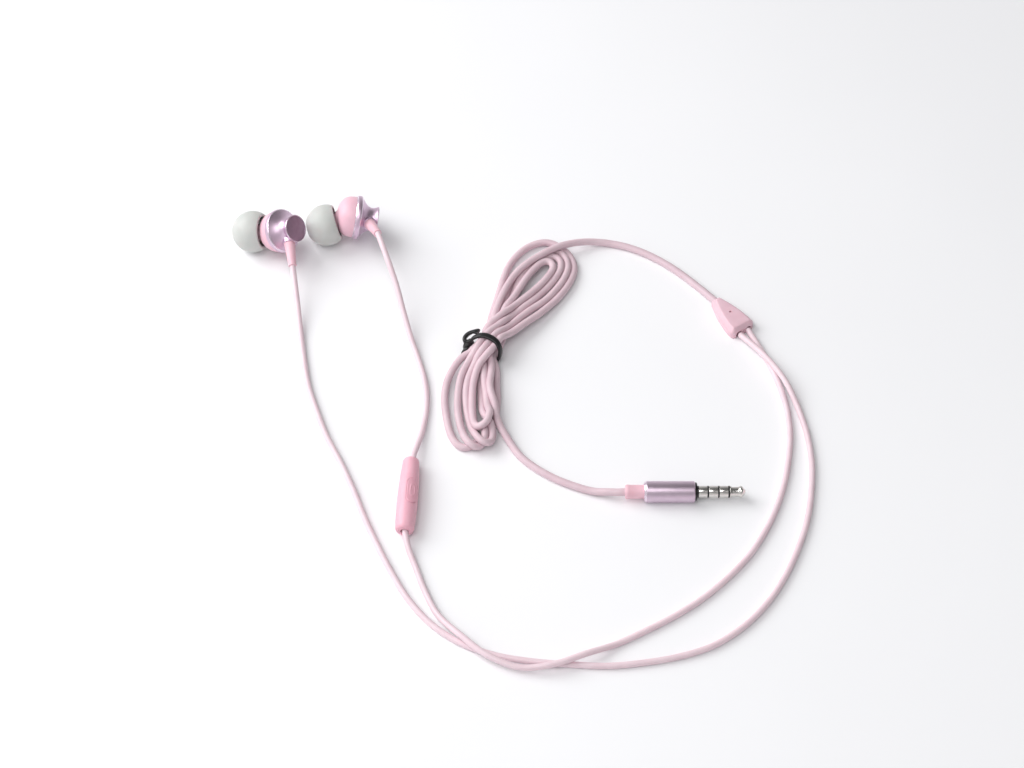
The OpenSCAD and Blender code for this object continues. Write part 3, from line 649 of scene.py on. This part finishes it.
def cap_profile():
    top = REAR_L - 0.16
    rise = [(r, top - 0.05 * (r / (FLARE_R - 0.4)) ** 2) for r in np.linspace(0, FLARE_R - 0.44, 14)]
    return rise + [(FLARE_R - 0.4, top - 0.12), (FLARE_R - 0.4, top - 0.5), (0, top - 0.5)]


def relief_profile():
    bore = BRANCH_D / 2
    taper = [(1.74 - 0.5 * t ** 0.8, 5.2 + 6.8 * t) for t in np.linspace(0, 1, 16)]
    collar = [(1.26, 12.05), (1.3, 12.2), (1.3, STEM_L - 0.1), (1.16, STEM_L), (bore, STEM_L - 0.05)]
    return eased([(bore, 2.4), (1.74, 2.4), (1.76, 4.4)] + taper + collar, 0.12)


def boss_profile():
    return eased([(1.7, 2.6), (2.15, 2.6), (2.05, 4.62), (1.96, 4.75), (1.7, 4.75)], 0.12)


def mesh_disc():
    """The nozzle's screen: a thin disc with raised wires both ways."""
    count = 21
    edge = 2.05
    pitch = 2 * edge / (count - 1)
    points = []
    faces = []
    for way in (0, 1):
        for i in range(count):
            offset = -edge + i * pitch
            half = math.sqrt(max(0.0, edge ** 2 - offset ** 2))
            if half < 0.2:
                continue
            steps = 14
            for k in range(steps + 1):
                run = -half + 2 * half * k / steps
                wave = 0.025 * math.cos(math.pi * run / pitch + math.pi * (i + way))
                for a in range(6):
                    turn = math.pi * a / 3
                    side = offset + 0.05 * math.cos(turn)
                    height = NOZZLE_END - 0.16 + wave + 0.05 * math.sin(turn)
                    points.append((run, side, height) if way == 0 else (side, run, height))
                base = len(points) - 6
                if k:
                    for a in range(6):
                        b = (a + 1) % 6
                        faces.append((base - 6 + a, base - 6 + b, base + b, base + a))
    return make_mesh("nozzle_screen", points, faces, [STEEL])


def make_bud(name, side):
    housing, nozzle = bud_frames(name, side)
    stem = stem_frame(housing)
    tip_body = f"ear_tip_{name}_body"
    add_object(f"tip_{name}", turned("tip", ear_tip_profile(), [SILICONE], sides=128), nozzle, tip_body,
               [f"ear_tip_{name}"])
    add_object(f"dome_{name}", turned("dome", dome_profile(), [DOME_PINK], sides=128), housing, "root",
               [f"front_housing_{name}"])
    add_object(f"nozzle_{name}", turned("nozzle", nozzle_profile(), [DOME_PINK]), nozzle, "root")
    add_object(f"screen_{name}", mesh_disc(), nozzle, "root", [f"nozzle_screen_{name}"])
    add_object(f"bell_{name}", turned("bell", rear_profile(), [LILAC_METAL, CUT_EDGE], rear_paint, 128),
               housing, "root", [f"rear_housing_{name}"])
    add_object(f"boss_{name}", turned("boss", boss_profile(), [LILAC_METAL]), stem, "root")
    add_object(f"cap_{name}", turned("cap", cap_profile(), [CAP_METAL], sides=128), housing, "root",
               [f"end_cap_{name}"])
    add_object(f"relief_{name}", turned("relief", relief_profile(), [RELIEF_PINK]), stem, "root",
               [f"strain_relief_{name}"])


make_bud("left", 1)
make_bud("right", -1)


# ---------------------------------------------------------------- inline remote

POD_L, POD_R, BUTTON_L, BUTTON_W, BUTTON_GAP = 25.4, 3.0, 8.6, 3.2, 0.12
OVAL_POINTS = 96


def remote_frame():
    """The pod's own frame: X along it, and Z out of the button, against the way that it is pressed."""
    up = -unit(np.array(JOINTS["remote_button_press"]["axis"]))
    along = unit(np.cross((0, 0, 1), up))
    low = np.minimum(*[np.array(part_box(n)[0]) for n in ("remote_upper_shell", "remote_lower_shell")])
    high = np.maximum(*[np.array(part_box(n)[1]) for n in ("remote_upper_shell", "remote_lower_shell")])
    return axes(along, np.cross(up, along), up, (low + high) / 2)


def pod_r(x):
    return POD_R * (1 - 0.16 * ((x + 0.1 * POD_L) / (POD_L / 2)) ** 2)


def cut_away(piece, cutters):
    """Takes cutters out of a piece and bakes the result into its mesh."""
    for cutter in cutters:
        modifier = piece.modifiers.new("cut", "BOOLEAN")
        modifier.operation = "DIFFERENCE"
        modifier.solver = "EXACT"
        modifier.object = cutter
    bpy.context.view_layer.update()
    baked = bpy.data.meshes.new_from_object(piece.evaluated_get(bpy.context.evaluated_depsgraph_get()))
    piece.modifiers.clear()
    piece.data = baked
    baked.shade_smooth()
    baked.set_sharp_from_angle(angle=math.radians(38))
    for cutter in cutters:
        bpy.data.objects.remove(cutter)


def cutter(mesh, matrix):
    piece = bpy.data.objects.new("cutter", mesh)
    piece.matrix_world = matrix
    bpy.context.scene.collection.objects.link(piece)
    return piece


def rod(radius, low, high):
    """A round bar along Z from low to high."""
    return turned("rod", [(0, low), (radius, low), (radius, high), (0, high)], [BLACK_PLASTIC])


def pod_mesh():
    """The pod as rings along X, with a fine parting line on both sides and rounded ends."""
    half = POD_L / 2
    round_r = 1.2
    stations = [(x, pod_r(x)) for x in np.linspace(round_r - half, half - round_r, 60)]
    low_end = arc((pod_r(round_r - half) - round_r, 0), round_r, -90, -6, 8)
    high_end = arc((pod_r(half - round_r) - round_r, 0), round_r, 6, 90, 8)
    line = [(-half + round_r + up, out) for out, up in low_end] + stations
    line += [(half - round_r + up, out) for out, up in high_end]
    beside_line = [side + off for side in (0, 180) for off in (-1.6, -0.9, 0.9, 1.6)]
    turns = sorted([360 * k / 90 for k in range(90)] + beside_line)
    points = []
    for x, radius in line:
        for degrees in turns:
            off_line = min(degrees % 180, 180 - degrees % 180)
            r = radius - (0.06 if off_line < 1 else 0)
            points.append((x, r * math.cos(math.radians(degrees)), r * math.sin(math.radians(degrees))))
    return make_mesh("pod", points, tube_faces(len(line), len(turns)), [REMOTE_PINK])


def oval_points(length, width):
    """Points round a flat oval with straight sides."""
    flat = (length - width) / 2
    out = []
    for k in range(OVAL_POINTS):
        turn = 2 * math.pi * k / OVAL_POINTS
        out.append((math.copysign(flat, math.cos(turn)) * min(1, abs(math.cos(turn)) * 3)
                    + width / 2 * math.cos(turn), width / 2 * math.sin(turn)))
    return out


def prism(outline, low, high):
    points = [(x, y, z) for z in (low, high) for x, y in outline]
    return make_mesh("prism", points, tube_faces(2, len(outline)), [BLACK_PLASTIC])


def button_mesh():
    """The button as rings of (share of its size, fixed height or None to follow the pod): a skirt, a rim that
    stands above the pod by lift, and a dished face with a raised bead."""
    rings = [(1, 0.9), (1, None), (0.985, None), (0.95, None), (0.9, None)]
    rings += [(share, None) for share in np.linspace(0.84, 0.06, 20)]
    lift = {1: 0.06, 0.985: 0.15, 0.95: 0.2, 0.9: 0.19}
    points = []
    for share, fixed in rings:
        for x, y in oval_points(BUTTON_L, BUTTON_W):
            x, y = x * share, y * share
            surface = math.sqrt(max(0.1, pod_r(x) ** 2 - y ** 2))
            bead = 0.12 * math.exp(-((share - 0.42) / 0.07) ** 2)
            dish = -0.16 * (1 - share ** 2) + bead
            points.append((x, y, fixed if fixed else surface + lift.get(share, 0.19 + dish)))
    return make_mesh("button", points, tube_faces(len(rings), OVAL_POINTS), [BUTTON_PINK])


def make_remote():
    at = remote_frame()
    pod = add_object("remote_pod", pod_mesh(), at, "root",
                     ["remote_upper_shell", "remote_lower_shell"])
    gap = 2 * BUTTON_GAP
    to_end = at @ turn_about("Y", 90)
    cut_away(pod, [cutter(prism(oval_points(BUTTON_L + gap, BUTTON_W + gap), 0.4, 5), at),
                   cutter(rod(1.2, -POD_L / 2 - 1, -POD_L / 2 + 2.6), to_end),
                   cutter(rod(1.0, POD_L / 2 - 2, POD_L / 2 + 1), to_end)])
    button = add_object("remote_press_button", button_mesh(), at, "remote_button_body",
                        ["remote_button"])
    return [pod, button]


# ---------------------------------------------------------------- splitter

SPLIT_AT, SPLIT_HEADING = (126.6, -22.3, 0), -56
SPLIT_L, SPLIT_W, SPLIT_NECK_W, SPLIT_AXIS_Z = 14.4, 8.4, 3.4, 1.4
BRANCH_SIDE, MIC_AT, MIC_HOLE_R = 1.75, 7.4, 0.36


def splitter_half_width(x):
    """Half of the splitter's width at x: a neck that swells to its full width and stays there."""
    t = min(1, max(0, (x - 0.8) / (0.8 * SPLIT_L)))
    return SPLIT_NECK_W / 2 + (SPLIT_W - SPLIT_NECK_W) / 2 * (1 - (1 - t) ** 1.7)


def splitter_outline(inset):
    """The outline, drawn in by inset: round the nose, down one side, round the corner and back up the other."""
    nose_r = max(0.15, 0.7 - inset)
    corner = max(0.25, 1.3 - inset)
    start = inset + nose_r
    end = SPLIT_L - inset - corner
    nose_y = splitter_half_width(start) - inset - nose_r
    corner_y = splitter_half_width(end) - inset - corner
    half = [(start - nose_r * math.cos(a), nose_y + nose_r * math.sin(a)) for a in np.linspace(0, 1.35, 7)]
    half += [(x, splitter_half_width(x) - inset) for x in np.linspace(start, end, 40)]
    half += [(end + corner * math.sin(a), corner_y + corner * math.cos(a))
             for a in np.linspace(0.2, math.pi / 2, 9)]
    return np.array(half + [(x, -y) for x, y in reversed(half)])


def splitter_mesh():
    """Outlines as (inset, height): a small bevel below, a parting line, a broad bevel and a nearly flat top."""
    levels = [(0.35, 0), (0.12, 0.1), (0, 0.35), (0, 1.3), (0.07, 1.37), (0.07, 1.43), (0, 1.5), (0, 2.35),
              (0.06, 2.52), (0.2, 2.72), (1.0, 3.68), (1.12, 3.78), (1.3, 3.85), (1.5, 3.88)]
    rings = [[(x, y, z) for x, y in splitter_outline(inset)] for inset, z in levels]
    for share in (0.4, 0.8):
        middle = [(min(12, max(3, x)), y * (1 - share)) for x, y in splitter_outline(1.5)]
        rings.append([(x, y, levels[-1][1] + 0.02 * share) for x, y in middle])
    points = [p for ring in rings for p in ring]
    return make_mesh("splitter", points, tube_faces(len(rings), len(rings[0])), [SPLITTER_PINK], sharp=50)


def make_splitter():
    at = Matrix.Translation(Vector(SPLIT_AT) * MM) @ turn_about("Z", SPLIT_HEADING)
    splitter = add_object("splitter_shell", splitter_mesh(), at, "root",
                          ["splitter_top_shell", "splitter_bottom_shell"])
    level = at @ Matrix.Translation((0, 0, SPLIT_AXIS_Z * MM))
    to_end = turn_about("Y", 90)
    cuts = [cutter(rod(1.3, -1, 1.6), level @ to_end),
            cutter(rod(MIC_HOLE_R, 1.0, 4), at @ Matrix.Translation((MIC_AT * MM, 0, 0)))]
    for side in (-1, 1):
        cuts.append(cutter(rod(1.12, SPLIT_L - 2, SPLIT_L + 1),
                           level @ Matrix.Translation((0, side * BRANCH_SIDE * MM, 0)) @ to_end))
    cut_away(splitter, cuts)
    return [splitter]


# ---------------------------------------------------------------- plug

BARREL_R, BARREL_L, RELIEF_L, PIN_R, PIN_L = 3.1, 14.6, 5.4, 1.75, 14
PIN_FROM, COLLAR_L, SLEEVE_L, RING_2_L, RING_1_L, CONTACT_GAP = 0.6, 0.5, 2.5, 2.6, 2.5, 0.45


def plug_frame():
    """X along the pin becomes Z, with the barrel's front face at 0."""
    mount = MOUNTS["plug_pin"]
    axis = unit(np.array(mount["axis"]))
    side = unit(np.cross((0, 1, 0), axis))
    return axes(side, np.cross(axis, side), axis, np.array(mount["pos_m"]) - PIN_FROM * MM * axis)


def contact(start, length):
    bore = 1.1
    return eased([(bore, start), (PIN_R, start), (PIN_R, start + length), (bore, start + length)], 0.07, 3)


def barrel_paint(radius, height):
    """The rear bevel is bright and the stepped front is black."""
    if height < 0.72 - BARREL_L and radius > BARREL_R - 0.4:
        return 1
    return 2 if height > 0.01 and radius < 2.8 else 0


def make_plug():
    at = plug_frame()
    made = []

    def add(name, profile, materials, replaced, paint=None):
        made.append(add_object(name, turned(name, profile, materials, paint), at, "root", replaced))

    back = -BARREL_L - RELIEF_L
    add("plug_relief", eased([(MAIN_D / 2, back), (1.9, back), (2.06, back + 0.35), (2.1, back + 0.9),
                              (2.02, back + 1.3), (1.98, -BARREL_L - 0.8), (2.08, -BARREL_L + 0.2),
                              (MAIN_D / 2, -BARREL_L + 0.2)], 0.18), [RELIEF_PINK],
        ["plug_strain_relief"])
    add("barrel", eased([(1.9, -BARREL_L), (BARREL_R - 0.35, -BARREL_L), (BARREL_R, 0.75 - BARREL_L),
                         (BARREL_R, -0.22), (BARREL_R - 0.2, 0), (2.72, 0.02), (2.62, PIN_FROM),
                         (1.65, PIN_FROM), (1.65, -0.6)], 0.06), [BARREL_METAL, CUT_EDGE, BLACK_PLASTIC],
        ["plug_barrel"], barrel_paint)
    start = PIN_FROM + COLLAR_L
    gaps = [start + SLEEVE_L, start + SLEEVE_L + CONTACT_GAP + RING_2_L,
            start + SLEEVE_L + 2 * CONTACT_GAP + RING_2_L + RING_1_L]
    core = [(1.64, PIN_FROM - 0.3), (1.64, PIN_FROM), (PIN_R, PIN_FROM), (PIN_R, start), (1.15, start)]
    for gap in gaps:
        core += [(1.15, gap), (PIN_R - 0.02, gap), (PIN_R - 0.02, gap + CONTACT_GAP), (1.15, gap + CONTACT_GAP)]
    add("insulator", [(0, PIN_FROM - 0.3)] + core + [(0, gaps[2] + CONTACT_GAP)], [BLACK_PLASTIC],
        ["plug_insulator"])
    add("sleeve_contact", contact(start, SLEEVE_L), [PLATING], ["plug_sleeve_contact"])
    add("ring_contact_2", contact(gaps[0] + CONTACT_GAP, RING_2_L), [PLATING],
        ["plug_ring_contact_2"])
    add("ring_contact_1", contact(gaps[1] + CONTACT_GAP, RING_1_L), [PLATING],
        ["plug_ring_contact_1"])
    point = gaps[2] + CONTACT_GAP
    end = PIN_FROM + PIN_L
    add("tip_contact", eased([(0, point), (PIN_R, point), (PIN_R, point + 0.25), (1.42, point + 0.8),
                              (1.42, end - 2.1), (PIN_R, end - 1.4), (PIN_R - 0.03, end - 1.05),
                              (0.85, end - 0.22), (0.5, end), (0, end)], 0.25), [PLATING],
        ["plug_tip_contact"])
    return made


# ---------------------------------------------------------------- tie

TWIST_R = 0.42


def band_mesh(name, path, width, thickness, out_from):
    """A flat strip with round edges along a path. out_from gives the way that its flat side faces."""
    line = smooth_line(path, 0.25)
    section = [(width / 2 * math.copysign(abs(math.cos(a)) ** 0.6, math.cos(a)),
                thickness / 2 * math.copysign(abs(math.sin(a)) ** 0.7, math.sin(a)))
               for a in [2 * math.pi * k / 20 for k in range(20)]]
    points = []
    for i, at in enumerate(line):
        along = unit(line[min(i + 1, len(line) - 1)] - line[max(i - 1, 0)])
        out = np.array(out_from(i / (len(line) - 1), at), float)
        out = unit(out - (out @ along) * along)
        wide = np.cross(along, out)
        for w, t in section:
            points.append(tuple(at + w * wide + t * out))
    return make_mesh(name, points, tube_faces(len(line), len(section)), [BLACK_RUBBER], sharp=60)


def make_tie():
    """A soft strip once round the hank, folded into a loop at its left side and twisted into a tail."""
    middle = np.array(in_tie(0, 4.2))

    def away(_, at):
        return at - middle - ((at - middle) @ ALONG) * ALONG

    def twisting(share, _):
        return math.cos(5 * share), 0.3, math.sin(5 * share)

    ring = [in_tie(-5.2, 4.6, -2.5), in_tie(-4.4, 6.0, -1.9), in_tie(-2.8, 7.1, -1.1), in_tie(-1, 7.45, -0.7),
            in_tie(1.2, 7.4, -0.8), in_tie(3.1, 6.9, -1.3), in_tie(4.4, 5.5, -2.1), in_tie(4.75, 3.6, -2.8),
            in_tie(4.4, 1.8, -3.1), in_tie(3.2, 0.8, -3), in_tie(0, 0.5, -2.6), in_tie(-3, 0.8, -2.2),
            in_tie(-4.4, 2, -2.1), in_tie(-4.9, 3.6, -2.2), in_tie(-5.2, 4.8, -2.4)]
    loop = [in_tie(-3.9, 6.1, 0.7), in_tie(-4.8, 6.0, 0.7), in_tie(-5.9, 5.7, 0.2), in_tie(-6.9, 5.3, -1),
            in_tie(-7.2, 4.9, -2.4), in_tie(-6.6, 4.6, -3.2), in_tie(-5.7, 4.6, -3), in_tie(-5.1, 4.9, -2.2)]
    tails = []
    for strand in (0, 1):
        path = []
        for k in range(9):
            turn = math.pi * strand + 2.6 * k / 2.4
            out = -5.8 + 0.03 * k + TWIST_R * math.cos(turn)
            path.append(in_tie(out, 4.5 - 0.4 * k + TWIST_R * math.sin(turn), -2.6 - 0.5 * k))
        tails.append(path)
    pieces = [band_mesh("tie_ring", ring, 1.9, 1.0, away), band_mesh("tie_loop", loop, 2.1, 1.2, away)]
    pieces += [band_mesh("tie_tail", path, 2.0, 1.3, twisting) for path in tails]
    build = bmesh.new()
    for mesh in pieces:
        build.from_mesh(mesh)
    joined = bpy.data.meshes.new("tie")
    build.to_mesh(joined)
    build.free()
    joined.materials.append(BLACK_RUBBER)
    joined.shade_smooth()
    return [add_object("twist_tie", joined, Matrix.Identity(4), "root", ["hank_tie"])]


remote_pieces = make_remote()
splitter_pieces = make_splitter()
plug_pieces = make_plug()
tie_pieces = make_tie()



# ---------------------------------------------------------------- inner nodes keep their CAD shape

INNER = {"driver_frame": STEEL, "diaphragm": FILM, "voice_coil": COPPER, "pole_plate": STEEL,
         "magnet": MAGNET_METAL, "yoke": STEEL, "driver_board": BOARD}
SINGLE = {"remote_dome_switch": STEEL, "remote_board": BOARD, "microphone": STEEL, "microphone_board": BOARD}


def dress(node, material):
    materials = frame["nodes"][node].data.materials
    materials.clear()
    materials.append(material)


for inner, inner_material in INNER.items():
    for side_name in ("left", "right"):
        dress(f"{inner}_{side_name}", inner_material)
for single, single_material in SINGLE.items():
    dress(single, single_material)


# ---------------------------------------------------------------- floor, light and world

FLOOR_RADIUS = 3
FLOOR_AT = (0.06, -0.06, 0)
ROOM_TILT = -35
ROOM_STRENGTH = 0.76
ROOM_LEVELS = [(0.0, 0.9), (0.3, 0.85), (0.55, 0.5), (0.8, 0.22)]

# Each lamp's name, place and target in metres, size in metres and power in watts
LAMPS = [("key", (-0.62, 0.2, 0.6), (0.03, -0.04, 0), 0.75, 6.4),
         ("top", (-0.09, -0.33, 0.78), (0, 0, 0), 0.56, 2.2),
         ("fill", (0.55, -0.5, 0.7), (0.06, -0.06, 0), 0.7, 0.4)]


def make_floor():
    surface = Surface("floor", roughness=0.62, specular_ior_level=0.2)
    surface.tint(surface.noise(9, 2), (0.3, srgb(247, 247, 249)), (0.7, srgb(249, 249, 251)))
    mesh = bpy.data.meshes.new("floor")
    build = bmesh.new()
    bmesh.ops.create_circle(build, cap_ends=True, segments=96, radius=FLOOR_RADIUS)
    build.to_mesh(mesh)
    build.free()
    mesh.materials.append(surface.material)
    floor = bpy.data.objects.new("floor", mesh)
    floor.location = FLOOR_AT
    bpy.context.scene.collection.objects.link(floor)


def area_light(name, at, target, size, power):
    data = bpy.data.lights.new(name, "AREA")
    data.shape = "DISK"
    data.size = size
    data.energy = power
    light = bpy.data.objects.new(name, data)
    light.location = at
    light.rotation_euler = (Vector(target) - Vector(at)).to_track_quat("-Z", "Y").to_euler()
    bpy.context.scene.collection.objects.link(light)


def make_world():
    """A pale room that is bright low down on the left and dims overhead and to the right."""
    world = bpy.data.worlds.new("room")
    world.use_nodes = True
    bpy.context.scene.world = world
    tree = world.node_tree
    place = tree.nodes.new("ShaderNodeTexCoord")
    tilt = tree.nodes.new("ShaderNodeMapping")
    tilt.inputs["Rotation"].default_value = (0, math.radians(ROOM_TILT), 0)
    split = tree.nodes.new("ShaderNodeSeparateXYZ")
    ramp = tree.nodes.new("ShaderNodeValToRGB")
    set_stops(ramp, [(position, (level, level, level * 1.01, 1)) for position, level in ROOM_LEVELS])
    background = tree.nodes["Background"]
    background.inputs["Strength"].default_value = ROOM_STRENGTH
    tree.links.new(place.outputs["Generated"], tilt.inputs["Vector"])
    tree.links.new(tilt.outputs["Vector"], split.inputs["Vector"])
    tree.links.new(split.outputs["Z"], ramp.inputs["Fac"])
    tree.links.new(ramp.outputs["Color"], background.inputs["Color"])


make_floor()
make_world()
for lamp in LAMPS:
    area_light(*lamp)
bpy.context.scene.view_settings.view_transform = "Standard"
bpy.context.scene.view_settings.look = "None"
